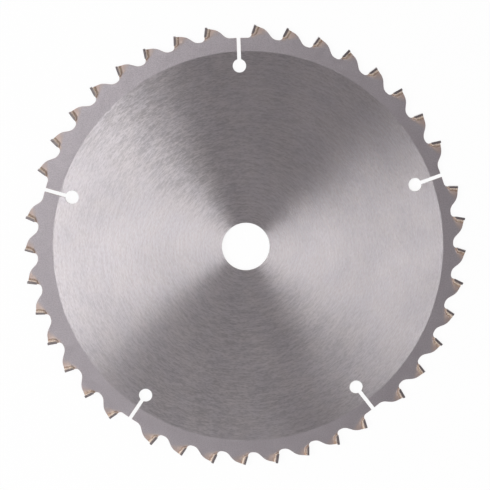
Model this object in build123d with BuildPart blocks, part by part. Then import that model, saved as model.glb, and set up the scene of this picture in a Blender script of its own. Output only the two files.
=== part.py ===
from build123d import *
from build123d.topology import SkipClean
import os
from math import atan2, cos, degrees, hypot, radians, sin, sqrt, tan

# A carbide-tipped circular saw blade for a cordless saw: one steel plate and forty brazed teeth.
# The origin is the centre of the bore, at the middle of the plate's thickness. +Z is the spindle's
# axis and +Y runs through the first expansion slot. Seen from +Z the blade cuts counter-clockwise.
# Lengths are in millimetres and angles in degrees.

# Blade
tip_diameter = 185.0     # cutting circle, over the highest corners of the teeth
bore_diameter = 20.0     # seat on the spindle
plate_thickness = 1.6
kerf = 2.2               # width of cut, across a tip at its cutting edge

# Spacing of the teeth: equal groups, each one begun by a gullet with a slot in its floor
slot_count = 5
teeth_per_group = 8
slotted_gap = 1.5        # pitches from the last tooth of a group to the first of the next
slot_lead = 4.2          # angle from a slot back to the cutting edge of the first tooth behind it

# Tooth, seen from the side
hook_angle = -16.5       # the face leans back from the radius
tip_length = 3.8         # along the face
tip_thickness = 0.9      # from the face to the back of the tip
tip_chamfer = 0.45       # between the back and the foot of the tip
back_drop = 0.18         # the steel starts this far down the back of the tip
back_relief = 19.5       # fall of the steel behind the tip
crest_setback = 4.8      # from the cutting edge back to where the steel turns down
heel_slope = 51.0        # fall of the steel into the gullet
shoulder_lead = 1.0      # steel under the tip, ahead of the cutting edge
shoulder_height = 1.73   # of that steel, above the floor of the gullet
crest_round = 6.0
heel_round = 3.8
root_round = 1.7

# Grinding of the tips; the bevels change sides from one tooth to the next
top_relief = 14.0
top_bevel = 10.0
face_bevel = 5.0
side_taper_inward = 1.0  # each side narrows towards the bore
side_taper_back = 2.0    # and away from the cutting edge

# Brazed joint
braze_film = 0.1         # between the tip and its seat
braze_land = 0.35        # flat rim round the tip, nearly flush with its sides
braze_spread = 1.5       # reach of the fillet over the side of the plate
braze_drop = 0.1         # of the land below the tip's side at its cutting edge

# Expansion slots
slot_width = 1.6
slot_hole_diameter = 5.6
slot_hole_radius = 75.3  # from the centre of the bore to the centre of the hole

# Ground zone on each side; the rim outside it is left blasted, and the two aren't quite concentric
ground_diameter = 163.0
ground_offset = (1.1, -0.24)

# The outline of a gullet reaches this far past the blank, where it overlaps its neighbours
overcut = 3.0

# Worked out from the sizes above
tip_radius = tip_diameter / 2
half_kerf = kerf / 2
half_plate = plate_thickness / 2
half_land = half_kerf - braze_drop
corner_rise = (
    half_kerf
    * (tan(radians(top_bevel)) + tan(radians(face_bevel)) * tan(radians(top_relief)))
    / (1 - tan(radians(hook_angle)) * tan(radians(top_relief)))
)
edge_radius = tip_radius - corner_rise  # cutting edge at mid-thickness
pitch = 360 / (slot_count * (teeth_per_group - 1 + slotted_gap))
tooth_angles = [
    slot * 360 / slot_count + slot_lead + tooth * pitch
    for slot in range(slot_count)
    for tooth in range(teeth_per_group)
]
last_of_groups = tooth_angles[teeth_per_group - 1 :: teeth_per_group]
inside_groups = [angle for angle in tooth_angles if angle not in last_of_groups]

# The tooth's frame has Y along the radius through the cutting edge and X backwards. The seat's frame
# starts at the cutting edge, with X straight back from the face and Y outwards along it.
seat_plane = Plane(
    origin=(0, edge_radius, 0),
    x_dir=(cos(radians(hook_angle)), sin(radians(hook_angle)), 0),
    z_dir=(0, 0, 1),
)
seat_depth = tip_thickness + braze_film
seat_drop = tip_length + braze_film


def in_tooth(x, y):
    """A point of the seat's frame, given in the tooth's frame."""
    point = seat_plane.from_local_coords((x, y, 0))
    return point.X, point.Y


def turned(point, angle):
    """A point of the tooth's frame, carried clockwise round the blade."""
    return Vector(*point).rotate(Axis.Z, -angle)


def around(angles):
    """The frames of the teeth at those angles, clockwise from the first slot."""
    return Locations(*[Location((0, 0, 0), (0, 0, -angle)) for angle in angles])


def bearing(point):
    """How far behind the cutting edge a point of the tooth's frame lies, as an angle."""
    return degrees(atan2(*point))


def on_floor(start, slope):
    """Where a line that falls backwards from start reaches the floor of the gullet."""
    x, y = start
    back, down = cos(radians(slope)), -sin(radians(slope))
    along = x * back + y * down
    run = -along - sqrt(along**2 - x**2 - y**2 + floor_radius**2)
    return x + run * back, y + run * down


def parallel_chamfer(growth):
    """The tip's corner chamfer, in an outline that lies outside the tip's by the same amount all round."""
    return tip_chamfer + growth * (2 - sqrt(2))


# Corners of one tooth before they are rounded: seat, shoulder and root, then back, crest and heel
seat_corner = in_tooth(seat_depth, -seat_drop)
shoulder = (
    -shoulder_lead,
    seat_corner[1] - (seat_corner[0] + shoulder_lead) * tan(radians(hook_angle)),
)
root = (-shoulder_lead, shoulder[1] - shoulder_height)
floor_radius = hypot(*root)
back_start = in_tooth(seat_depth, -back_drop)
crest = (
    crest_setback,
    back_start[1] - (crest_setback - back_start[0]) * tan(radians(back_relief)),
)
heel = on_floor(crest, heel_slope)

# Ends of a gullet's outline outside the steel
above_seat = in_tooth(seat_depth, overcut)
before_back = (
    back_start[0] - overcut * cos(radians(back_relief)),
    back_start[1] + overcut * sin(radians(back_relief)),
)
above_back = (before_back[0], tip_radius + overcut)

# On a short floor the rounds at its ends get smaller, and the root's also under a low shoulder
heel_turn = heel_slope - bearing(heel)
root_turn = 90 + bearing(root)
floor_run = radians(pitch + bearing(root) - bearing(heel)) * floor_radius
rounds_run = heel_round * tan(radians(heel_turn / 2)) + root_round * tan(radians(root_turn / 2))
heel_fit = min(1, 0.95 * floor_run / rounds_run)
root_fit = min(heel_fit, 0.98 * shoulder_height / (root_round * tan(radians(root_turn / 2))))

os.makedirs("parts", exist_ok=True)


def corner(sketch, point):
    """The corner of an outline that lies at a point."""
    return sketch.vertices().sort_by_distance(point)[0]


def gullet(gap):
    """What is cut away behind a tooth, up to the seat of the next one at an angle of gap."""
    next_root, next_shoulder, next_seat, next_above = (
        turned(point, gap) for point in (root, shoulder, seat_corner, above_seat)
    )
    mid_floor = turned((0, floor_radius), (bearing(heel) + gap + bearing(root)) / 2)
    with BuildSketch() as cut:
        with BuildLine():
            Polyline(above_back, before_back, crest, heel)
            ThreePointArc(heel, mid_floor, next_root)
            Polyline(next_root, next_shoulder, next_seat, next_above, above_back)
        make_face()
        chamfer(corner(cut, next_seat), parallel_chamfer(braze_film))
        fillet(corner(cut, crest), crest_round)
        fillet(corner(cut, heel), heel_round * heel_fit)
        fillet(corner(cut, next_root), root_round * root_fit)
    return cut.sketch


# Plate: a disc with gullets and seats cut round it, bore, slots, and the edge of the ground zone
with BuildPart() as plate:
    with BuildSketch(Plane.XY.offset(-half_plate)) as outline:
        Circle(tip_radius)
        with around(inside_groups):
            add(gullet(pitch), mode=Mode.SUBTRACT)
        with around(last_of_groups):
            add(gullet(pitch * slotted_gap), mode=Mode.SUBTRACT)
    extrude(amount=plate_thickness)
    # With merging off, what is ground joins the plate but leaves the circle as an edge on both sides
    with SkipClean():
        with BuildSketch(Plane.XY.offset(-half_plate)):
            add(outline.sketch_local)
            with Locations(ground_offset):
                Circle(ground_diameter / 2, mode=Mode.INTERSECT)
        extrude(amount=plate_thickness)
        with BuildSketch(Plane.XY.offset(-half_plate)):
            Circle(bore_diameter / 2)
            with PolarLocations(slot_hole_radius, slot_count, start_angle=90):
                Circle(slot_hole_diameter / 2)
                Rectangle(
                    tip_radius - slot_hole_radius,
                    slot_width,
                    align=(Align.MIN, Align.CENTER),
                )
        extrude(amount=plate_thickness, mode=Mode.SUBTRACT)
plate.part.label = "plate"
export_step(plate.part, "parts/plate.step")


def tip_outline(level, growth, lead):
    """The side view of a tip at a level of Z, grown at its back and foot and reaching past its face."""
    with BuildSketch(seat_plane.offset(level)) as side_view:
        with Locations((tip_thickness + growth, -tip_length - growth)):
            Rectangle(
                tip_thickness + growth + lead,
                tip_length + growth + tip_thickness,
                align=(Align.MAX, Align.MIN),
            )
        foot = side_view.vertices().group_by(Axis.Y)[0].sort_by(Axis.X)[-1]
        chamfer(foot, parallel_chamfer(growth))
    return side_view.sketch


def ground_tip(hand):
    """One tip in the tooth's frame, with its high corner on +Z for a hand of 1 or on -Z for -1."""
    edge = (0, edge_radius, 0)
    face_normal = (-1, -tan(radians(hook_angle)), -hand * tan(radians(face_bevel)))
    top_normal = (tan(radians(top_relief)), 1, -hand * tan(radians(top_bevel)))
    with BuildPart() as ground:
        extrude(tip_outline(-kerf, 0, tip_thickness), amount=2 * kerf)
        split(bisect_by=Plane(origin=edge, z_dir=face_normal), keep=Keep.BOTTOM)
        split(bisect_by=Plane(origin=edge, z_dir=top_normal), keep=Keep.BOTTOM)
        for side in (1, -1):
            side_normal = (
                tan(radians(side_taper_back)),
                -tan(radians(side_taper_inward)),
                side,
            )
            side_plane = Plane(origin=(0, tip_radius, side * half_kerf), z_dir=side_normal)
            split(bisect_by=side_plane, keep=Keep.BOTTOM)
    return ground.part


# Tips: alternate teeth lead with opposite corners, so that each one shears one wall of the cut
tip_forms = (ground_tip(-1), ground_tip(1))
for number, angle in enumerate(tooth_angles):
    with BuildPart() as tip:
        with around([angle]):
            add(tip_forms[number % 2])
    tip.part.label = f"tip_{number + 1:02d}"
    export_step(tip.part, f"parts/{tip.part.label}.step")

# One brazed joint: the film in the seat, and on each side a fillet that falls from its land
with BuildPart() as joint:
    extrude(tip_outline(-half_plate, braze_film, tip_thickness), amount=plate_thickness)
    for side in (1, -1):
        loft(
            sections=[
                tip_outline(side * half_plate, braze_spread, tip_thickness),
                tip_outline(side * half_land, braze_land, tip_thickness),
            ],
            ruled=True,
        )
    extrude(tip_outline(-kerf, 0, 2 * tip_thickness), amount=2 * kerf, mode=Mode.SUBTRACT)
    back_normal = (sin(radians(back_relief)), cos(radians(back_relief)), 0)
    split(bisect_by=Plane(origin=(*back_start, 0), z_dir=back_normal), keep=Keep.BOTTOM)
    split(bisect_by=Plane(origin=(-shoulder_lead, 0, 0), z_dir=(-1, 0, 0)), keep=Keep.BOTTOM)

# Braze: one joint to each tooth, all of the same filler metal
with BuildPart() as braze:
    with around(tooth_angles):
        add(joint.part)
braze.part.label = "braze"
export_step(braze.part, "parts/braze.step")
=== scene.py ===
"""Looks of a carbide-tipped circular saw blade that lies on a white table.

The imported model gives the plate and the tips, and this script gives them their finishes. It lays the
brazed joints as smooth metal, and adds the table, the lamps and the camera. Lengths are written in
millimetres, bearings are degrees clockwise from the first expansion slot, seen from above.
"""

import logging
import math
from dataclasses import dataclass, field
from enum import Enum
from typing import Union

import bpy
from mathutils import Matrix, Vector, noise

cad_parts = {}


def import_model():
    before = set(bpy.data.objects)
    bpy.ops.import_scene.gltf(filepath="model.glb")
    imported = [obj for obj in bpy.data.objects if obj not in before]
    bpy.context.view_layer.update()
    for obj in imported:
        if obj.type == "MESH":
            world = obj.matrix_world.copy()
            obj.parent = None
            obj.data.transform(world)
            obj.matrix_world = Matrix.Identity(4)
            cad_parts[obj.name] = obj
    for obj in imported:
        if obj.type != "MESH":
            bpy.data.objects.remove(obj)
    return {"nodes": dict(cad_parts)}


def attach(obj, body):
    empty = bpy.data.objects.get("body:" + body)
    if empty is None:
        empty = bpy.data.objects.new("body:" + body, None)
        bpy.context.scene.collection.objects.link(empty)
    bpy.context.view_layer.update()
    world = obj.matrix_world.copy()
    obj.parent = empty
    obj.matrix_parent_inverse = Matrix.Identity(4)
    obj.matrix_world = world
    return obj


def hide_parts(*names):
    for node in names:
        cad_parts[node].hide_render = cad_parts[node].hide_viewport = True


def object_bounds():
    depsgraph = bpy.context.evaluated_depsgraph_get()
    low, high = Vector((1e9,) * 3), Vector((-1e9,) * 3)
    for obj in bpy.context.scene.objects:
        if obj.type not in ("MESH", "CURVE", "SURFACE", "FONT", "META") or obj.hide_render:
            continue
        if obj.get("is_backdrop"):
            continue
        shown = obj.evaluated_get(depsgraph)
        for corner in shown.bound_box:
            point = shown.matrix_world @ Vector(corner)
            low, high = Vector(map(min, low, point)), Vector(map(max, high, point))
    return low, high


Colour = tuple[float, float, float]
Point = tuple[float, float]
Span = tuple[float, float]
Rise = tuple[float, float, float, float]
Operand = Union["Value", float]

LOG = logging.getLogger("saw_blade")
MM = 0.001
DEGREE = math.radians(1)
WHITE = (1.0, 1.0, 1.0, 1.0)

# A noise stays between these values nearly everywhere; the closer pair gives more contrast
SOFT: Span = (0.3, 0.7)
CLEAR: Span = (0.35, 0.65)


class Side(Enum):
    """Side of the blade, with the sign of its Z."""

    FRONT = 1
    BACK = -1


# Sizes of the blade


@dataclass(frozen=True)
class ToothLayout:
    """Where the teeth stand, and the outline of one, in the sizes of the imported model.

    The tooth's frame has Y along the radius through the cutting edge and X backwards. The seat's frame
    starts at the cutting edge, with X straight back from the tip's face and Y outwards along it.
    """

    edge_radius: float = 92.297
    slot_count: int = 5
    teeth_per_group: int = 8
    slotted_gap: float = 1.5
    slot_lead: float = 4.2
    hook: float = -16.5
    tip_length: float = 3.8
    tip_thickness: float = 0.9
    tip_chamfer: float = 0.45
    back_drop: float = 0.18
    back_relief: float = 19.5
    shoulder_lead: float = 1.0

    @property
    def group_angle(self) -> float:
        """Angle from one expansion slot to the next."""
        return 360 / self.slot_count

    @property
    def pitch(self) -> float:
        """Angle from tooth to tooth inside a group."""
        return self.group_angle / (self.teeth_per_group - 1 + self.slotted_gap)

    @property
    def back_axis(self) -> Point:
        """The seat's X axis, in the tooth's frame."""
        return math.cos(math.radians(self.hook)), math.sin(math.radians(self.hook))

    @property
    def bearings(self) -> list[float]:
        """Bearing of every cutting edge."""
        return [
            slot * self.group_angle + self.slot_lead + tooth * self.pitch
            for slot in range(self.slot_count)
            for tooth in range(self.teeth_per_group)
        ]

    def in_tooth(self, seat: Point) -> Point:
        """Carries a point from the seat's frame to the tooth's.

        Args:
            seat: The point in the seat's frame.

        Returns:
            The point in the tooth's frame, whose origin is the centre of the blade.
        """
        along, across = self.back_axis
        x, y = seat
        return x * along - y * across, self.edge_radius + x * across + y * along

    def on_blade(self, seat: Point, bearing: float) -> Point:
        """Carries a point of the seat's frame to its place on the blade.

        Args:
            seat: The point in the seat's frame.
            bearing: Bearing of the tooth's cutting edge.

        Returns:
            X and Y on the blade.
        """
        x, y = self.in_tooth(seat)
        turn = math.radians(bearing)
        return x * math.cos(turn) + y * math.sin(turn), y * math.cos(turn) - x * math.sin(turn)


@dataclass(frozen=True)
class PlateSizes:
    """Sizes of the plate that its finish follows."""

    thickness: float = 1.6
    ground_radius: float = 81.5
    ground_centre: Point = (1.1, -0.24)
    kerf: float = 2.2
    taper_back: float = 2.0
    taper_inward: float = 1.0


# Shader graphs


class Value:
    """A number that varies over a surface. Its arithmetic adds Math nodes."""

    def __init__(self, graph: "Graph", socket: bpy.types.NodeSocket) -> None:
        """Wraps an output socket.

        Args:
            graph: The graph that the socket belongs to.
            socket: The output that gives the number.
        """
        self.graph = graph
        self.socket = socket

    def __add__(self, other: Operand) -> "Value":
        """Sum."""
        return self.graph.math("ADD", self, other)

    def __sub__(self, other: Operand) -> "Value":
        """Difference."""
        return self.graph.math("SUBTRACT", self, other)

    def __rsub__(self, other: Operand) -> "Value":
        """Difference from a number."""
        return self.graph.math("SUBTRACT", other, self)

    def __mul__(self, other: Operand) -> "Value":
        """Product."""
        return self.graph.math("MULTIPLY", self, other)

    def __truediv__(self, other: Operand) -> "Value":
        """Quotient."""
        return self.graph.math("DIVIDE", self, other)

    def __rtruediv__(self, other: Operand) -> "Value":
        """Quotient of a number."""
        return self.graph.math("DIVIDE", other, self)

    def __lt__(self, other: Operand) -> "Value":
        """1 where this is less, else 0."""
        return self.graph.math("LESS_THAN", self, other)

    def __gt__(self, other: Operand) -> "Value":
        """1 where this is more, else 0."""
        return self.graph.math("GREATER_THAN", self, other)

    __radd__ = __add__
    __rmul__ = __mul__

    def __abs__(self) -> "Value":
        """Size without sign."""
        return self.graph.math("ABSOLUTE", self)

    def floor(self) -> "Value":
        """The whole number below."""
        return self.graph.math("FLOOR", self)

    def at_least(self, other: Operand) -> "Value":
        """The larger of the two."""
        return self.graph.math("MAXIMUM", self, other)

    def at_most(self, other: Operand) -> "Value":
        """The smaller of the two."""
        return self.graph.math("MINIMUM", self, other)

    def swing(self, size: float) -> "Value":
        """Makes a number from 0 to 1 go from minus half the size to plus half."""
        return (self - 0.5) * size

    def ramp(self, start: float, end: float, low: float = 0.0, high: float = 1.0) -> "Value":
        """Eases from low to high while this goes from start to end.

        Args:
            start: Where the rise begins.
            end: Where it is complete.
            low: Result before start.
            high: Result after end.

        Returns:
            The eased number.
        """
        node = self.graph.node(
            "ShaderNodeMapRange",
            {"interpolation_type": "SMOOTHSTEP"},
            {"Value": self, "From Min": start, "From Max": end, "To Min": low, "To Max": high},
        )
        return Value(self.graph, node.outputs["Result"])


class Graph:
    """The node graph of one new material or of the world."""

    def __init__(self, owner: Union[bpy.types.Material, bpy.types.World]) -> None:
        """Empties the owner's node tree.

        Args:
            owner: What the graph shades.
        """
        owner.use_nodes = True
        self.tree = owner.node_tree
        self.tree.nodes.clear()

    def node(
        self,
        kind: str,
        settings: dict[str, object] | None = None,
        sockets: dict[str | int, object] | None = None,
    ) -> bpy.types.Node:
        """Adds one node, sets it and then fills its sockets.

        Args:
            kind: Type of the node.
            settings: Properties of the node; "stops" are the stops of a colour ramp.
            sockets: A value, or the output to link, for each input by name or number.

        Returns:
            The new node.
        """
        new = self.tree.nodes.new(kind)
        for name, setting in (settings or {}).items():
            if name == "stops":
                self._set_stops(new.color_ramp, setting)
            else:
                setattr(new, name, setting)
        for name, given in (sockets or {}).items():
            if isinstance(given, Value):
                given = given.socket
            if isinstance(given, bpy.types.NodeSocket):
                self.tree.links.new(given, new.inputs[name])
            else:
                new.inputs[name].default_value = given
        return new

    @staticmethod
    def _set_stops(ramp: bpy.types.ColorRamp, stops: list[tuple[float, Colour]]) -> None:
        """Gives a ramp its stops.

        Args:
            ramp: The ramp of a new node.
            stops: Position and colour of each stop, in order.
        """
        while len(ramp.elements) < len(stops):
            ramp.elements.new(1.0)
        for element, (position, colour) in zip(ramp.elements, stops):
            element.position = position
            element.color = (*colour, 1.0)

    def math(self, operation: str, *operands: Operand) -> Value:
        """Adds a Math node.

        Args:
            operation: What it works out.
            operands: Its numbers, in order.

        Returns:
            The result.
        """
        node = self.node("ShaderNodeMath", {"operation": operation}, dict(enumerate(operands)))
        return Value(self, node.outputs["Value"])

    def length(self, x: Value, y: Value) -> Value:
        """Distance of a flat point from the origin."""
        return self.math("SQRT", x * x + y * y)

    def mixed(
        self, factor: Operand, first: object, second: object, blend: str = "MIX"
    ) -> bpy.types.NodeSocket:
        """Mixes two colours.

        Args:
            factor: Share of the second.
            first: Colour or output.
            second: Colour or output.
            blend: How the second goes over the first.

        Returns:
            The mixed colour.
        """
        sockets = {0: factor, 6: self._four(first), 7: self._four(second)}
        node = self.node("ShaderNodeMix", {"data_type": "RGBA", "blend_type": blend}, sockets)
        return node.outputs[2]

    @staticmethod
    def _four(colour: object) -> object:
        """Adds alpha to a written colour."""
        return (*colour, 1.0) if isinstance(colour, tuple) else colour

    def shades(self, tone: Operand, colour: Colour, first: float, second: float) -> bpy.types.NodeSocket:
        """Mixes two shades of one colour.

        Args:
            tone: Share of the second.
            colour: The colour.
            first: How many times as light the first shade is.
            second: How many times as light the second is.

        Returns:
            The mixed colour.
        """
        shades = (tuple(channel * times for channel in colour) for times in (first, second))
        return self.mixed(tone, *shades)

    def place(self) -> "Place":
        """Reads the surface's own coordinates.

        Returns:
            The coordinates, in millimetres, and how far the surface faces up.
        """
        coordinates = self.node("ShaderNodeTexCoord")
        scaled = self.node(
            "ShaderNodeVectorMath",
            {"operation": "SCALE"},
            {0: coordinates.outputs["Object"], "Scale": 1 / MM},
        )
        facing = self.node("ShaderNodeSeparateXYZ", None, {0: coordinates.outputs["Normal"]})
        parts = self.node("ShaderNodeSeparateXYZ", None, {0: scaled.outputs[0]})
        x, y, z = (Value(self, output) for output in parts.outputs)
        return Place(x, y, z, scaled.outputs[0], Value(self, facing.outputs["Z"]))

    def vector(self, x: Operand, y: Operand, z: Operand) -> bpy.types.NodeSocket:
        """Joins three numbers to a vector."""
        return self.node("ShaderNodeCombineXYZ", None, {0: x, 1: y, 2: z}).outputs[0]

    def noise(
        self, where: bpy.types.NodeSocket, scale: float = 1.0, detail: float = 2.0, rough: float = 0.5
    ) -> Value:
        """Adds a noise texture.

        Args:
            where: The place that it is read at.
            scale: How many patches there are to a unit of the place.
            detail: Number of finer layers.
            rough: Strength of the finer layers.

        Returns:
            The noise, about 0.5 on average.
        """
        node = self.node(
            "ShaderNodeTexNoise",
            {"noise_dimensions": "3D"},
            {"Vector": where, "Scale": scale, "Detail": detail, "Roughness": rough},
        )
        return Value(self, node.outputs["Fac"])

    def chance(self, number: Value, series: int = 0) -> Value:
        """Draws one random number for each whole number.

        Args:
            number: The whole number, from 0 to 99.
            series: Which of several series of draws it is.

        Returns:
            The draw, from 0 to 1.
        """
        place_in_all = number + 100.0 * series
        node = self.node("ShaderNodeTexWhiteNoise", {"noise_dimensions": "1D"}, {"W": place_in_all})
        return Value(self, node.outputs["Value"])

    def bump(self, height: Value, depth: float, strength: float = 1.0) -> bpy.types.NodeSocket:
        """Turns a height into a normal.

        Args:
            height: Height from 0 to 1.
            depth: What a height of 1 stands for, in millimetres.
            strength: Share of the bump that is used.

        Returns:
            The normal.
        """
        sockets = {"Height": height, "Distance": depth * MM, "Strength": strength}
        return self.node("ShaderNodeBump", None, sockets).outputs["Normal"]

    def edges(self, width: float) -> Value:
        """How near the surface is to a sharp edge.

        Args:
            width: How far the edge is felt, in millimetres.

        Returns:
            0 away from edges, about 0.3 on one.
        """
        rounded = self.node("ShaderNodeBevel", {"samples": 8}, {"Radius": width * MM})
        plain = self.node("ShaderNodeNewGeometry")
        sockets = {0: rounded.outputs["Normal"], 1: plain.outputs["True Normal"]}
        aligned = self.node("ShaderNodeVectorMath", {"operation": "DOT_PRODUCT"}, sockets)
        return 1 - Value(self, aligned.outputs["Value"])

    def principled(self, sockets: dict[str | int, object]) -> bpy.types.NodeSocket:
        """Adds a Principled shader with the given sockets."""
        return self.node("ShaderNodeBsdfPrincipled", None, sockets).outputs[0]

    def either(
        self, factor: Value, first: bpy.types.NodeSocket, second: bpy.types.NodeSocket
    ) -> bpy.types.NodeSocket:
        """Mixes two shaders; factor is the share of the second."""
        return self.node("ShaderNodeMixShader", None, {0: factor, 1: first, 2: second}).outputs[0]

    def finish(self, shader: bpy.types.NodeSocket, kind: str = "ShaderNodeOutputMaterial") -> None:
        """Ends the graph in a shader.

        Args:
            shader: What is shown.
            kind: Type of the output node.
        """
        self.node(kind, None, {"Surface": shader})


@dataclass(frozen=True)
class Place:
    """Coordinates on a surface: millimetres on the blade, and how far it faces up."""

    x: Value
    y: Value
    z: Value
    whole: bpy.types.NodeSocket
    facing: Value


@dataclass(frozen=True)
class ToothPlace:
    """A place seen from its nearest tooth.

    Back and out are the seat's frame, and reach is the way to the tip. Heat is that way as the brazing
    heat took it, longer under the tip than above it. Under is 1 below the tip's foot.
    """

    back: Value
    out: Value
    reach: Value
    heat: Value
    under: Value
    number: Value


@dataclass(frozen=True)
class ToothFinder:
    """Finds the place of a point beside its own tooth.

    A tooth's share of the rim begins some degrees ahead of its edge. Braze and heat go less far past the
    foot of a tip than past its back, and the rises tell how they change with the depth below its edge.
    """

    teeth: ToothLayout
    ahead: float = 1.5
    foot_stretch: float = 1.2
    corner_stretch: float = 0.92
    rounding: float = 0.4
    reach_rise: Rise = (0.8, 3.0, 0.82, 1.0)
    heat_rise: Rise = (1.2, 2.6, 0.88, 1.0)
    foot_heat_rise: Rise = (2.5, 4.1, 0.0, 0.75)
    foot_span: Span = (-0.5, 0.2)

    def find(self, graph: Graph, place: Place) -> ToothPlace:
        """Carries each point to the seat's frame of its tooth.

        Args:
            graph: The graph that the nodes go to.
            place: Coordinates on the blade.

        Returns:
            The point in that frame, with the tooth's number.
        """
        teeth = self.teeth
        bearing = graph.math("ARCTAN2", place.x, place.y) / DEGREE + (360 - teeth.slot_lead + self.ahead)
        slot = (bearing / teeth.group_angle).floor()
        in_group = bearing - slot * teeth.group_angle
        tooth = (in_group / teeth.pitch).floor().at_most(teeth.teeth_per_group - 1)
        behind = (in_group - tooth * teeth.pitch - self.ahead) * DEGREE
        radius = graph.length(place.x, place.y)
        x = radius * graph.math("SINE", behind)
        y = radius * graph.math("COSINE", behind) - teeth.edge_radius
        along, across = teeth.back_axis
        back = x * along + y * across
        out = y * along - x * across
        down = 0 - out
        corner = teeth.tip_thickness + teeth.tip_length - teeth.tip_chamfer
        past_back = back - teeth.tip_thickness
        past_foot = (down - teeth.tip_length) * self.foot_stretch
        past_corner = (back + down - corner) * self.corner_stretch
        past_low = graph.math("SMOOTH_MAX", past_foot, past_corner, self.rounding)
        past_tip = graph.math("SMOOTH_MAX", past_back, past_low, self.rounding)
        reach = past_tip.at_least(0.0) * down.ramp(*self.reach_rise)
        heat = reach * (down.ramp(*self.heat_rise) + down.ramp(*self.foot_heat_rise))
        foot_start, foot_end = self.foot_span
        under = down.ramp(teeth.tip_length + foot_start, teeth.tip_length + foot_end)
        return ToothPlace(back, out, reach, heat, under, slot * teeth.teeth_per_group + tooth)


# Finishes, with scales in patches to a millimetre, depths in millimetres, and shares from 0 to 1


@dataclass(frozen=True)
class GroundSteel:
    """Steel ground in circles about the blade's centre, with short concentric scratches."""

    colour: Colour = (0.68, 0.645, 0.67)
    shade: float = 0.23
    tint: Colour = (1.0, 0.985, 0.95)
    roughness: float = 0.377
    rough_share: float = 0.085
    anisotropy: float = 0.923
    concentric: float = 0.25
    scratch_length: float = 1.5
    scratch_width: float = 0.32
    scratch_depth: float = 0.006
    scratch_strength: float = 0.7
    scratch_span: Span = (0.36, 0.64)
    broad_scale: float = 0.31
    broad_share: float = 0.4
    cloud_scale: float = 0.045
    cloud_share: float = 0.2
    veil_scale: float = 0.09
    veil_share: float = 0.5

    def shader(self, graph: Graph, place: Place) -> bpy.types.NodeSocket:
        """Builds the shader of the ground zone.

        Args:
            graph: The plate's graph.
            place: Coordinates on the plate.

        Returns:
            The shader.
        """
        length = self.scratch_length
        ring = graph.length(place.x, place.y) / self.scratch_width
        along_rings = graph.vector(place.x / length, place.y / length, ring)
        fine = graph.noise(along_rings, detail=3.0, rough=0.6)
        broad = graph.noise(along_rings, self.broad_scale)
        cloud = graph.noise(place.whole, self.cloud_scale, detail=3.0)
        veil = graph.noise(place.whole, self.veil_scale, detail=3.0, rough=0.6)
        grain = fine * (1 - self.broad_share) + broad * self.broad_share
        scratches = grain.ramp(*self.scratch_span)
        tone = scratches * (1 - self.cloud_share) + cloud.ramp(*CLEAR) * self.cloud_share
        steel = graph.shades(tone, self.colour, 1 - self.shade, 1 + self.shade)
        veiled = graph.mixed(veil.ramp(*CLEAR) * self.veil_share, steel, self.tint, "MULTIPLY")
        rough, smooth = self.roughness + self.rough_share, self.roughness - self.rough_share
        return graph.principled(
            {
                "Base Color": veiled,
                "Metallic": 1.0,
                "Roughness": grain.ramp(*SOFT, rough, smooth),
                "Anisotropic": self.anisotropy,
                "Anisotropic Rotation": self.concentric,
                "Normal": graph.bump(grain, self.scratch_depth, self.scratch_strength),
            }
        )


@dataclass(frozen=True)
class BlastedSteel:
    """The matt blasted rim, browned by the brazing heat beside each tip.

    The spans tell how far from the tip each tint goes, and the swings how unevenly it ends.
    """

    colour: Colour = (0.65, 0.606, 0.638)
    shade: float = 0.16
    speck: float = 0.45
    cloud_scale: float = 0.16
    cloud_share: float = 0.3
    rough: float = 0.424
    smooth: float = 0.324
    pit: float = 0.13
    pit_depth: float = 0.012
    pit_strength: float = 0.6
    flushed: Colour = (0.69, 0.555, 0.50)
    flush_span: Span = (1.7, 2.3)
    bloom: Colour = (0.76, 0.63, 0.58)
    bloom_span: Span = (-2.8, -1.4)
    warm: Colour = (0.63, 0.53, 0.50)
    warm_span: Span = (1.9, 4.2)
    warm_rough: float = 0.05
    tint_share: float = 0.9
    patch_scale: float = 0.8
    cloud_swing: float = 1.4
    patch_swing: float = 2.8
    tooth_swing: float = 1.5
    edge: Colour = (0.60, 0.46, 0.44)
    edge_width: float = 0.55
    edge_span: Span = (0.0, 0.2)
    edge_share: float = 0.8

    def shader(self, graph: Graph, place: Place, tooth: ToothPlace) -> bpy.types.NodeSocket:
        """Builds the shader of the rim.

        Args:
            graph: The plate's graph.
            place: Coordinates on the plate.
            tooth: The same places seen from their teeth.

        Returns:
            The shader.
        """
        specks = graph.noise(place.whole, 1 / self.speck, detail=3.0, rough=0.6)
        pits = graph.noise(place.whole, 1 / self.pit, rough=0.6)
        cloud = graph.noise(place.whole, self.cloud_scale, detail=3.0)
        patches = graph.noise(place.whole, self.patch_scale, detail=3.0, rough=0.6)
        tone = specks.ramp(*SOFT) * (1 - self.cloud_share) + cloud.ramp(*SOFT) * self.cloud_share
        steel = graph.shades(tone, self.colour, 1 - self.shade, 1 + self.shade)
        ragged = cloud.swing(self.cloud_swing) + patches.swing(self.patch_swing)
        heat = tooth.heat + ragged + graph.chance(tooth.number).swing(self.tooth_swing)
        warmth = 1 - heat.ramp(*self.warm_span)
        flush = 1 - heat.ramp(*self.flush_span)
        flushed = graph.mixed(tooth.out.ramp(*self.bloom_span), self.bloom, self.flushed)
        warmed = graph.mixed(warmth * self.tint_share, steel, self.warm)
        heated = graph.mixed(flush * self.tint_share, warmed, flushed)
        near_edge = graph.edges(self.edge_width).ramp(*self.edge_span)
        return graph.principled(
            {
                "Base Color": graph.mixed(near_edge * self.edge_share, heated, self.edge),
                "Metallic": 1.0,
                "Roughness": tone.ramp(0.0, 1.0, self.rough, self.smooth) + warmth * self.warm_rough,
                "Normal": graph.bump(pits, self.pit_depth, self.pit_strength),
            }
        )


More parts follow.
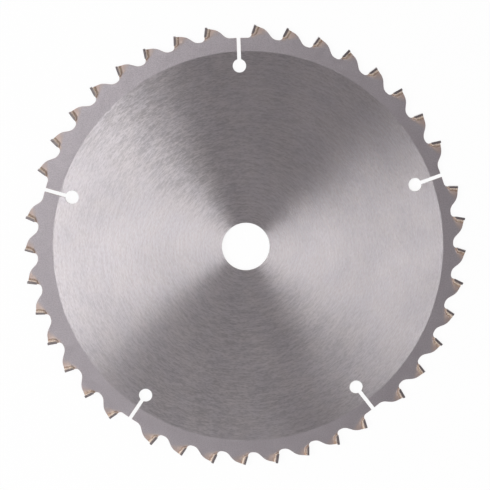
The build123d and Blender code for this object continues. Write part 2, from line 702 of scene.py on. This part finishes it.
@dataclass(frozen=True)
class CutSteel:
    """The walls left by the laser: dark, with fine lines across the thickness."""

    colour: Colour = (0.17, 0.135, 0.125)
    darker: float = 0.7
    lighter: float = 1.4
    rough: float = 0.6
    smooth: float = 0.4
    metal: float = 0.9
    line: float = 0.16
    line_stretch: float = 0.12
    line_depth: float = 0.03
    line_strength: float = 0.5

    def shader(self, graph: Graph, place: Place) -> bpy.types.NodeSocket:
        """Builds the shader of the walls.

        Args:
            graph: The plate's graph.
            place: Coordinates on the plate.

        Returns:
            The shader.
        """
        lines = graph.noise(graph.vector(place.x, place.y, place.z * self.line_stretch), 1 / self.line)
        return graph.principled(
            {
                "Base Color": graph.shades(lines.ramp(*CLEAR), self.colour, self.darker, self.lighter),
                "Metallic": self.metal,
                "Roughness": lines.ramp(*SOFT, self.rough, self.smooth),
                "Normal": graph.bump(lines, self.line_depth, self.line_strength),
            }
        )


@dataclass(frozen=True)
class PlateFinish:
    """The plate's material: ground zone, blasted rim and cut walls."""

    sizes: PlateSizes
    teeth: ToothLayout
    ground: GroundSteel = field(default_factory=GroundSteel)
    rim: BlastedSteel = field(default_factory=BlastedSteel)
    wall: CutSteel = field(default_factory=CutSteel)
    border_width: float = 0.2
    border_scale: float = 0.5
    border_swing: float = 0.24
    wall_facing: float = 0.5

    def material(self) -> bpy.types.Material:
        """Makes the material.

        Returns:
            The material, which tells the three surfaces apart by their place and by how they face.
        """
        made = bpy.data.materials.new("plate_ground_and_blasted")
        graph = Graph(made)
        place = graph.place()
        tooth = ToothFinder(self.teeth).find(graph, place)
        centre_x, centre_y = self.sizes.ground_centre
        radius = graph.length(place.x - centre_x, place.y - centre_y)
        wander = graph.noise(graph.vector(place.x, place.y, 0.0), self.border_scale)
        inner = self.sizes.ground_radius - self.border_width / 2
        outside = (radius + wander.swing(self.border_swing)).ramp(inner, inner + self.border_width)
        flat = graph.either(
            outside,
            self.ground.shader(graph, place),
            self.rim.shader(graph, place, tooth),
        )
        upright = abs(place.facing) < self.wall_facing
        graph.finish(graph.either(upright, flat, self.wall.shader(graph, place)))
        return made


@dataclass(frozen=True)
class CarbideFinish:
    """Ground tungsten carbide: dark grey, with fine grinding lines across each tip."""

    teeth: ToothLayout
    colour: Colour = (0.43, 0.381, 0.386)
    shade: float = 0.1
    rough: float = 0.33
    smooth: float = 0.29
    line: float = 0.05
    line_stretch: float = 0.15
    line_share: float = 0.5
    groove: float = 0.012
    cloud_scale: float = 0.9
    tooth_step: float = 50.0

    def material(self) -> bpy.types.Material:
        """Makes the material.

        Returns:
            The material, which differs from tooth to tooth.
        """
        made = bpy.data.materials.new("carbide_ground")
        graph = Graph(made)
        place = graph.place()
        tooth = ToothFinder(self.teeth).find(graph, place)
        shift = graph.chance(tooth.number) * self.tooth_step
        stretch = self.line_stretch
        across = graph.vector(tooth.back * stretch + shift, tooth.out, place.z * stretch)
        lines = graph.noise(across, 1 / self.line, rough=0.6)
        beside = graph.vector(tooth.back + shift, tooth.out, place.z)
        cloud = graph.noise(beside, self.cloud_scale, detail=3.0, rough=0.6)
        tone = lines.ramp(*SOFT) * self.line_share + cloud.ramp(*SOFT) * (1 - self.line_share)
        graph.finish(
            graph.principled(
                {
                    "Base Color": graph.shades(tone, self.colour, 1 - self.shade, 1 + self.shade),
                    "Metallic": 1.0,
                    "Roughness": tone.ramp(0.0, 1.0, self.rough, self.smooth),
                    "Normal": graph.bump(lines, self.groove),
                }
            )
        )
        return made


@dataclass(frozen=True)
class BrazeFinish:
    """Silver braze with a thin painted shadow against the carbide, then pale, bronze further out and pinkish
    at its edge.

    Its bands follow the reach, which is 0 at the tip and 1 at the edge of the fillet. Under the tip the
    braze thins out and the steel shows, and near the top of some teeth it is burnt brown.
    """

    teeth: ToothLayout
    spread: float = 1.5
    # Painted shade: a thin dark line where the tip stands proud of the braze
    painted_tip_shadow: Colour = (0.38, 0.30, 0.26)
    pale: Colour = (0.73, 0.61, 0.535)
    bronze: Colour = (0.33, 0.225, 0.18)
    flushed: Colour = (0.59, 0.475, 0.42)
    lump_scale: float = 1.3
    lump_swing: float = 0.8
    tooth_swing: float = 0.35
    straw: Colour = (0.62, 0.52, 0.40)
    streak_width: float = 2.2
    streak_height: float = 0.7
    streak_step: float = 60.0
    streak_span: Span = (0.42, 0.62)
    streak_least: float = 0.3
    streak_more: float = 0.6
    foot_share: float = 0.35
    bare: Colour = (0.54, 0.50, 0.525)
    bare_heat: Span = (1.5, 2.5)
    bare_reach: Span = (0.5, 0.9)
    burnt: Colour = (0.47, 0.30, 0.21)
    burnt_out: Span = (-2.2, -0.6)
    burnt_reach: Span = (0.25, 0.5)
    burnt_least: float = 0.1
    burnt_more: float = 0.5
    scale: Colour = (0.34, 0.27, 0.24)
    scale_share: float = 0.25
    scale_span: Span = (0.35, 0.7)
    grain_scale: float = 7.0
    grain_depth: float = 0.02
    grain_strength: float = 0.5
    metal: Rise = (0.1, 0.5, 0.5, 0.7)
    rough: float = 0.52
    smooth: float = 0.40

    @property
    def bands(self) -> list[tuple[float, Colour]]:
        """Colours by their reach."""
        return [
            # The first band is painted shade along the tip's edge, not a colour of the braze
            (0.0, self.painted_tip_shadow),
            (0.05, self.pale),
            (0.25, self.pale),
            (0.42, self.bronze),
            (0.68, self.bronze),
            (0.92, self.flushed),
        ]

    def material(self) -> bpy.types.Material:
        """Makes the material.

        Returns:
            The material, which differs from tooth to tooth.
        """
        made = bpy.data.materials.new("braze_silver_to_bronze")
        graph = Graph(made)
        place = graph.place()
        tooth = ToothFinder(self.teeth).find(graph, place)
        draw, burnt_draw, streak_draw = (graph.chance(tooth.number, series) for series in range(3))
        lumps = graph.noise(place.whole, self.lump_scale, detail=3.0, rough=0.65)
        grain = graph.noise(place.whole, self.grain_scale, rough=0.6)
        reach = tooth.reach / self.spread + lumps.swing(self.lump_swing) + draw.swing(self.tooth_swing)
        banded = graph.node("ShaderNodeValToRGB", {"stops": self.bands}, {"Fac": reach}).outputs["Color"]
        colour = graph.mixed(self._streaks(graph, place, tooth, draw, streak_draw), banded, self.straw)
        colour = graph.mixed(tooth.under * self.foot_share, colour, self.bronze)
        thinned = tooth.heat.ramp(*self.bare_heat) * reach.ramp(*self.bare_reach)
        colour = graph.mixed(thinned, colour, self.bare)
        hot = tooth.out.ramp(*self.burnt_out) * reach.ramp(*self.burnt_reach)
        colour = graph.mixed(hot * (self.burnt_least + burnt_draw * self.burnt_more), colour, self.burnt)
        colour = graph.mixed(grain.ramp(*self.scale_span) * self.scale_share, colour, self.scale)
        graph.finish(
            graph.principled(
                {
                    "Base Color": colour,
                    "Metallic": reach.ramp(*self.metal),
                    "Roughness": lumps.ramp(*SOFT, self.rough, self.smooth),
                    "Normal": graph.bump(grain, self.grain_depth, self.grain_strength),
                }
            )
        )
        return made

    def _streaks(self, graph: Graph, place: Place, tooth: ToothPlace, draw: Value, strength: Value) -> Value:
        """Finds the straw-coloured streaks along the tip.

        Args:
            graph: The braze's graph.
            place: Coordinates on the blade.
            tooth: The same places seen from their teeth.
            draw: The tooth's own number, which moves the streaks.
            strength: Its number for their strength.

        Returns:
            Share of the streaks' colour.
        """
        where = graph.vector(
            tooth.back * self.streak_width + draw * self.streak_step,
            tooth.out * self.streak_height,
            place.z,
        )
        streaks = graph.noise(where, detail=3.0, rough=0.6)
        return streaks.ramp(*self.streak_span) * (self.streak_least + strength * self.streak_more)


@dataclass(frozen=True)
class TableFinish:
    """White table: shown white to the eye and in reflections, and it keeps a soft shadow."""

    colour: Colour = (0.85, 0.85, 0.85)
    darker: float = 0.98
    mottle_scale: float = 0.02
    roughness: float = 0.9
    shine: float = 0.1
    shown: float = 0.955

    def material(self) -> bpy.types.Material:
        """Makes the material.

        Returns:
            The material, which glows for the camera and in reflections and is plain paint for the rest.
        """
        made = bpy.data.materials.new("table_white")
        graph = Graph(made)
        rays = graph.node("ShaderNodeLightPath").outputs
        seen = Value(graph, rays["Is Camera Ray"])
        for name in ("Is Glossy Ray", "Is Transmission Ray"):
            seen = seen.at_least(Value(graph, rays[name]))
        place = graph.place()
        mottle = graph.noise(graph.vector(place.x, place.y, 0.0), self.mottle_scale)
        paint = graph.principled(
            {
                "Base Color": graph.shades(mottle.ramp(*SOFT), self.colour, 1.0, self.darker),
                "Roughness": self.roughness,
                "Specular IOR Level": self.shine,
            }
        )
        glow = graph.node("ShaderNodeEmission", None, {"Color": WHITE, "Strength": 1.0})
        graph.finish(graph.either(seen * self.shown, paint, glow.outputs[0]))
        return made


# Sub-assemblies


@dataclass
class Plate:
    """The steel plate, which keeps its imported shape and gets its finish."""

    sizes: PlateSizes
    teeth: ToothLayout

    def dress(self, nodes: dict[str, bpy.types.Object]) -> None:
        """Gives the plate its material.

        Args:
            nodes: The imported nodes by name.
        """
        nodes["plate"].material_slots[0].material = PlateFinish(self.sizes, self.teeth).material()
        LOG.info("plate: ground zone of %.0f mm inside a blasted rim", 2 * self.sizes.ground_radius)


@dataclass
class Tips:
    """The carbide tips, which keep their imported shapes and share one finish."""

    teeth: ToothLayout

    def dress(self, nodes: dict[str, bpy.types.Object]) -> None:
        """Gives every tip the carbide's material.

        Args:
            nodes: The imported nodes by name.
        """
        made = CarbideFinish(self.teeth).material()
        tips = [node for name, node in sorted(nodes.items()) if name.startswith("tip_")]
        for tip in tips:
            tip.material_slots[0].material = made
        LOG.info("tips: %d dressed as ground carbide", len(tips))


@dataclass
class BrazedJoints:
    """The filler metal of all teeth: a film in each seat, and a fillet on both sides of the plate.

    A fillet reaches out by its spread and ends a little below the plate's face. It is uneven in its spread
    and its height, by shares of them that follow a noise, and the steps say how far the noise moves on
    from ray to ray, from tooth to tooth, from side to side and along a ray.
    """

    teeth: ToothLayout
    sizes: PlateSizes
    film: float = 0.1
    land: float = 0.3
    spread: float = 1.5
    drop: float = 0.05
    sunk: float = 0.004
    foot_spread: float = 0.6
    foot_height: float = 0.6
    uneven_spread: float = 0.13
    uneven_height: float = 0.125
    ray_step: float = 0.23
    tooth_step: float = 3.7
    side_step: float = 5.1
    height_step: float = 2.1
    share_step: float = 3.0
    share_start: float = 9.0
    sharp_angle: float = 40.0
    back_columns: int = 12
    corner_columns: int = 6
    foot_columns: int = 3
    shares: tuple[float, ...] = (0.13, 0.2, 0.27, 0.34, 0.42, 0.5, 0.58, 0.67, 0.76, 0.86, 1.0)
    verts: list[tuple[float, float, float]] = field(default_factory=list)
    faces: list[tuple[int, ...]] = field(default_factory=list)

    def columns(self) -> list[tuple[Point, Point]]:
        """Rays that leave the tip's outline, from the top of its back round to the front of its foot.

        Returns:
            Start and direction of each ray, in the seat's frame.
        """
        teeth = self.teeth
        thick, length, cut = teeth.tip_thickness, teeth.tip_length, teeth.tip_chamfer
        fall = math.tan(math.radians(teeth.back_relief + teeth.hook))
        top = -teeth.back_drop + self.film * fall
        rays = []
        for step in range(self.back_columns):
            share = step / self.back_columns
            start = (thick, top + share * (-length + cut - top))
            rays.append((start, (1.0, -fall * (1 - share) ** 3)))
        for step in range(self.corner_columns):
            share = step / self.corner_columns
            start = (thick - cut * share, -length + cut * (1 - share))
            angle = math.radians(-90 * share)
            rays.append((start, (math.cos(angle), math.sin(angle))))
        along, across = teeth.back_axis
        front = (-teeth.shoulder_lead - length * across) / along
        for step in range(self.foot_columns + 1):
            share = step / self.foot_columns
            start = (thick - cut + share * (front - thick + cut), -length)
            rays.append((start, (-across / along * share, -1.0)))
        return rays

    def height(self, seat: Point, share: float, low: float, lump: float) -> float:
        """Height of the fillet above the middle of the plate.

        Args:
            seat: Point in the seat's frame.
            share: How far the point is on the way to the fillet's edge.
            low: 0 beside the tip's back, 1 under its foot.
            lump: Unevenness there, from -1 to 1.

        Returns:
            The height.
        """
        x, y = self.teeth.in_tooth(seat)
        tip_side = (
            self.sizes.kerf / 2
            - x * math.tan(math.radians(self.sizes.taper_back))
            + (y - self.teeth.edge_radius) * math.tan(math.radians(self.sizes.taper_inward))
            - self.drop
        )
        flat = self.land / self.spread
        fall = max(0.0, (share - flat) / (1 - flat))
        eased = (fall + fall * fall * (3 - 2 * fall)) / 2
        rise = (tip_side - self.sizes.thickness / 2) * (1 - eased) * (1 - (1 - self.foot_height) * low)
        uneven = self.uneven_height * lump * math.sin(math.pi * share)
        return self.sizes.thickness / 2 + rise * (1 + uneven)

    def add_joint(self, bearing: float, number: int) -> None:
        """Adds the joint of one tooth.

        Args:
            bearing: Bearing of the tooth's cutting edge.
            number: Number of the tooth, which varies its shape.
        """
        rays = self.columns()
        strips: dict[Side, list[list[int]]] = {}
        for side in Side:
            steps = (number * self.tooth_step, side.value * self.side_step)
            turns = [Vector((place * self.ray_step, *steps)) for place in range(len(rays))]
            strips[side] = [self._row(ray, turn, side, bearing) for ray, turn in zip(rays, turns)]
        self._skin(strips)

    def _row(self, ray: tuple[Point, Point], turn: Vector, side: Side, bearing: float) -> list[int]:
        """Adds the vertices along one ray, and one at the bottom of the seat's wall.

        Args:
            ray: Start and direction, in the seat's frame.
            turn: Place in the noise.
            side: Side of the blade.
            bearing: Bearing of the tooth's cutting edge.

        Returns:
            Numbers of the vertices, outwards from the tip and the bottom one last.
        """
        start, way = ray
        low = min(1.0, max(0.0, -way[1]))
        wide = self.spread * (1 + self.uneven_spread * noise.noise(turn))
        wide *= 1 - (1 - self.foot_spread) * low
        bottom = self.sizes.thickness / 2 - self.sunk
        row = []
        for distance in (0.0, self.film, *(wide * share for share in self.shares)):
            share = distance / wide
            seat = (start[0] + way[0] * distance, start[1] + way[1] * distance)
            along_ray = Vector((share * self.share_step, 0, self.share_start))
            lump = noise.noise(turn * self.height_step + along_ray)
            height = bottom if math.isclose(share, 1.0) else self.height(seat, share, low, lump)
            row.append(self._vertex(seat, bearing, side.value * height))
        seat = (start[0] + way[0] * self.film, start[1] + way[1] * self.film)
        row.append(self._vertex(seat, bearing, side.value * bottom))
        return row

    def _vertex(self, seat: Point, bearing: float, height: float) -> int:
        """Adds a vertex.

        Args:
            seat: Its place in the seat's frame.
            bearing: Bearing of the tooth's cutting edge.
            height: Its Z.

        Returns:
            Its number.
        """
        x, y = self.teeth.on_blade(seat, bearing)
        self.verts.append((x * MM, y * MM, height * MM))
        return len(self.verts) - 1

    def _skin(self, strips: dict[Side, list[list[int]]]) -> None:
        """Joins the rows of one joint to a closed skin.

        Args:
            strips: Vertex numbers of each side, by ray and distance.
        """
        front, back = strips[Side.FRONT], strips[Side.BACK]
        bottom = len(front[0]) - 1
        for rows, order in ((front, -1), (back, 1)):
            for near, far in zip(rows, rows[1:]):
                for step in range(bottom):
                    self.faces.append((near[step], near[step + 1], far[step + 1], far[step])[::order])
            self.faces.append(tuple(rows[0][1:])[::-order])
            self.faces.append(tuple(rows[-1][1:])[::order])
        for near, far, near_back, far_back in zip(front, front[1:], back, back[1:]):
            self.faces.append((near[bottom], far[bottom], far_back[bottom], near_back[bottom]))
            self.faces.append((near[0], near_back[0], far_back[0], far[0]))
        for row, row_back, order in ((front[0], back[0], -1), (front[-1], back[-1], 1)):
            end = (row[0], row_back[0], row_back[1], row_back[bottom], row[bottom], row[1])
            self.faces.append(end[::order])

    def build(self) -> bpy.types.Object:
        """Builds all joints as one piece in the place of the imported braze.

        Returns:
            The piece.
        """
        for number, bearing in enumerate(self.teeth.bearings):
            self.add_joint(bearing, number)
        mesh = bpy.data.meshes.new("brazed_joints")
        mesh.from_pydata(self.verts, [], self.faces)
        mesh.validate()
        mesh.shade_smooth()
        mesh.set_sharp_from_angle(angle=math.radians(self.sharp_angle))
        mesh.materials.append(BrazeFinish(self.teeth, self.spread).material())
        piece = bpy.data.objects.new("brazed_joints", mesh)
        bpy.context.scene.collection.objects.link(piece)
        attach(piece, "root")
        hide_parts("braze")
        LOG.info("brazed joints: %d, %d faces", len(self.teeth.bearings), len(mesh.polygons))
        return piece


# Studio


@dataclass
class Table:
    """A large plain table just under the lowest corners of the tips."""

    half_side: float = 6000.0
    gap: float = 0.01

    def build(self, lowest: float) -> bpy.types.Object:
        """Lays the table.

        Args:
            lowest: Z of the blade's lowest point, in metres.

        Returns:
            The table.
        """
        half = self.half_side * MM
        height = lowest - self.gap * MM
        mesh = bpy.data.meshes.new("table")
        corners = [(-half, -half), (half, -half), (half, half), (-half, half)]
        mesh.from_pydata([(x, y, height) for x, y in corners], [], [(0, 1, 2, 3)])
        mesh.materials.append(TableFinish().material())
        table = bpy.data.objects.new("table", mesh)
        bpy.context.scene.collection.objects.link(table)
        table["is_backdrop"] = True
        LOG.info("table: at %.2f mm", height / MM)
        return table


@dataclass(frozen=True)
class Softbox:
    """A soft rectangular lamp that looks at the blade's centre."""

    name: str
    bearing: float
    elevation: float
    distance: float
    width: float
    height: float
    watts: float

    def build(self) -> bpy.types.Object:
        """Hangs the lamp.

        Returns:
            The lamp.
        """
        lamp = bpy.data.lights.new(self.name, "AREA")
        lamp.shape = "RECTANGLE"
        lamp.size = self.width * MM
        lamp.size_y = self.height * MM
        lamp.energy = self.watts
        rig = bpy.data.objects.new(self.name, lamp)
        turn, rise = math.radians(self.bearing), math.radians(self.elevation)
        away = Vector((math.sin(turn) * math.cos(rise), math.cos(turn) * math.cos(rise), math.sin(rise)))
        sideways = Vector((math.cos(turn), -math.sin(turn), 0.0))
        upward = away.cross(sideways)
        rig.visible_camera = False
        rig.matrix_world = Matrix.Translation(away * self.distance * MM) @ Matrix(
            (sideways, upward, away)
        ).transposed().to_4x4()
        bpy.context.scene.collection.objects.link(rig)
        LOG.info("lamp %s: bearing %.0f, elevation %.0f", self.name, self.bearing, self.elevation)
        return rig


@dataclass
class Studio:
    """Plain grey surroundings and four soft lamps round the blade."""

    ambient: float = 0.15
    tint: Colour = (1.0, 0.92, 0.95)
    lamps: tuple[Softbox, ...] = (
        Softbox("softbox_left", 266.0, 42.9, 1100.0, 1100.0, 532.0, 10.98),
        Softbox("softbox_above", 312.3, 57.0, 1100.0, 223.0, 952.0, 1.45),
        Softbox("softbox_front", 201.5, 51.8, 1100.0, 997.0, 223.0, 1.37),
        Softbox("softbox_right", 103.2, 28.0, 1100.0, 1107.0, 670.0, 4.25),
    )

    def build(self) -> None:
        """Lights the scene."""
        world = bpy.data.worlds.new("studio")
        bpy.context.scene.world = world
        graph = Graph(world)
        sockets = {"Color": (*self.tint, 1.0), "Strength": self.ambient}
        graph.finish(graph.node("ShaderNodeBackground", None, sockets).outputs[0], "ShaderNodeOutputWorld")
        for lamp in self.lamps:
            lamp.build()


@dataclass
class Camera:
    """The camera high above the blade, tilted a little down and to one side.

    Tilts and turn are degrees. Near and far say between which distances it sees, in metres.
    """

    down_tilt: float = 4.083
    side_tilt: float = 1.509
    turn: float = 2.14
    distance: float = 836.9
    right: float = -0.349
    up: float = 0.6266
    lens: float = 147.1
    sensor: float = 36.0
    near: float = 0.01
    far: float = 100.0

    def build(self) -> bpy.types.Object:
        """Sets the camera up.

        Returns:
            The camera.
        """
        tilt, lean = math.radians(self.down_tilt), math.radians(self.side_tilt)
        rightward = Vector(
            (math.cos(lean), math.sin(tilt) * math.sin(lean), math.cos(tilt) * math.sin(lean))
        )
        upward = Vector((0.0, math.cos(tilt), -math.sin(tilt)))
        backward = rightward.cross(upward)
        place = (rightward * self.right + upward * self.up + backward * self.distance) * MM
        seen = Matrix((rightward, upward, backward)).transposed().to_4x4()
        data = bpy.data.cameras.new("camera")
        data.sensor_width = self.sensor
        data.lens = self.lens
        data.clip_start = self.near
        data.clip_end = self.far
        camera = bpy.data.objects.new("camera", data)
        roll = Matrix.Rotation(math.radians(-self.turn), 4, "Z")
        camera.matrix_world = roll @ Matrix.Translation(place) @ seen
        bpy.context.scene.collection.objects.link(camera)
        bpy.context.scene.camera = camera
        LOG.info("camera: %.0f mm lens, %.0f mm away", self.lens, self.distance)
        return camera


def main() -> None:
    """Dresses the blade and sets table, lamps and camera round it."""
    logging.basicConfig(level=logging.INFO, format="%(name)s: %(message)s")
    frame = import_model()
    cad_box = [list(corner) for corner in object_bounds()]
    teeth, sizes = ToothLayout(), PlateSizes()
    Camera().build()
    Plate(sizes, teeth).dress(frame["nodes"])
    Tips(teeth).dress(frame["nodes"])
    BrazedJoints(teeth, sizes).build()
    Table().build(cad_box[0][2])
    Studio().build()
    bpy.context.scene.view_settings.view_transform = "Standard"


if __name__ == "__main__":
    main()
